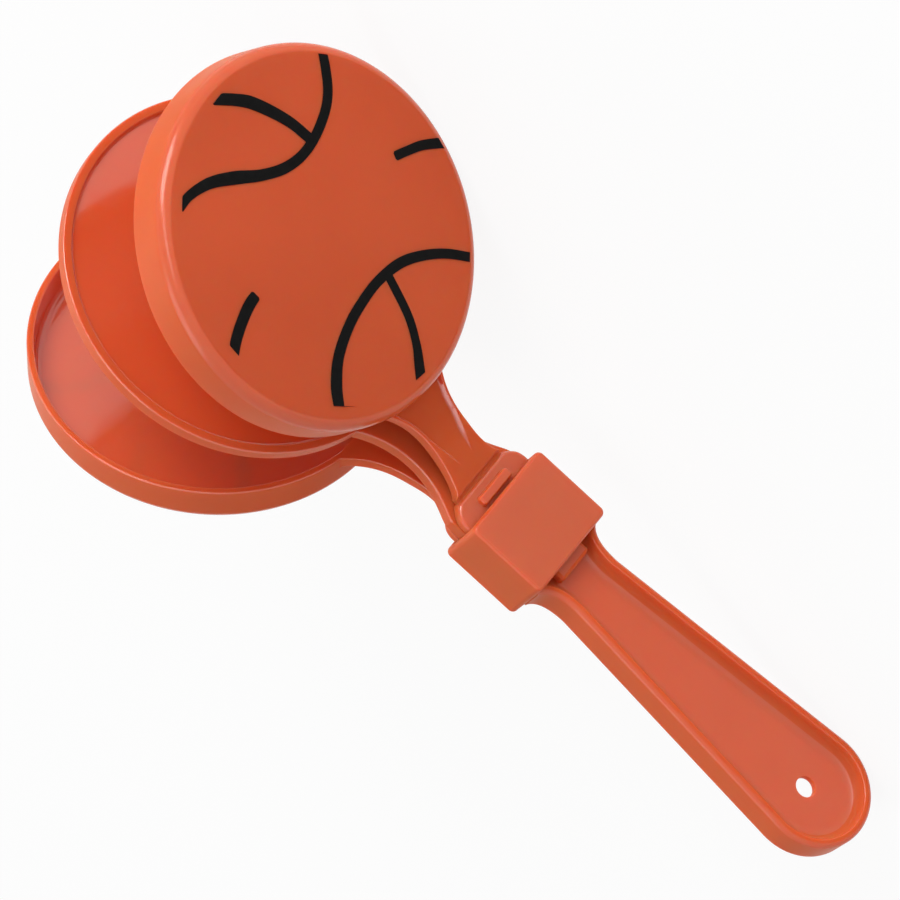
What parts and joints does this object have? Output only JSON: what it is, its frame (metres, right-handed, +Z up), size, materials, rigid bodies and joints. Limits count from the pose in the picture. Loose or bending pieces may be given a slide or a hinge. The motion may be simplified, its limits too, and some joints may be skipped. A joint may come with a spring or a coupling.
{
  "type": "hand clapper",
  "caption": "Plastic hand clapper noisemaker with a handle, a fixed centre disc and dished outer discs on living hinges, held together by a sliding collar and printed with basketball seam lines",
  "frame": {"origin": "Middle of the bounding box on the surface that the clapper lies on, with the clapper on its side edge and its discs fanned open", "axes": "+X runs along the clapper from the handle to the discs, +Z is up across the discs, and -Y is the side of the front dish that faces the viewer"},
  "size_m": [0.2298, 0.103, 0.0887],
  "materials": {
    "orange_plastic": "semi-gloss moulded polypropylene, slightly translucent orange",
    "black_print": "black pad print, thin and slightly glossy"
  },
  "bodies": {
    "paddle": {"center_paddle": "orange_plastic", "front_tongue": "orange_plastic", "rear_tongue": "orange_plastic", "front_hinge_film": "orange_plastic", "rear_hinge_film": "orange_plastic"},
    "front_dish": {"front_shell": "orange_plastic", "front_seam_outer": "black_print", "front_seam_stub_low": "black_print", "front_seam_stub_high": "black_print", "front_seam_inner": "black_print"},
    "rear_dish": {"rear_shell": "orange_plastic", "rear_seam_outer": "black_print", "rear_seam_stub_low": "black_print", "rear_seam_stub_high": "black_print", "rear_seam_inner": "black_print"},
    "sleeve": {"collar": "orange_plastic"}
  },
  "joints": [
    {"name": "front_hinge", "type": "hinge", "parent": "paddle", "child": "front_dish", "pos_m": [0.00249, -0.00694, 0.03272], "axis": [0.1728, 0, -0.985], "range_deg": [-18.4, 26.6]},
    {"name": "rear_hinge", "type": "hinge", "parent": "paddle", "child": "rear_dish", "pos_m": [0.00249, -0.00245, 0.03272], "axis": [-0.1728, 0, 0.985], "range_deg": [-23.8, 21.2]},
    {"name": "collar_slide", "type": "slide", "parent": "paddle", "child": "sleeve", "axis": [-0.985, 0, -0.1728], "range_m": [0, 0.045]}
  ]
}
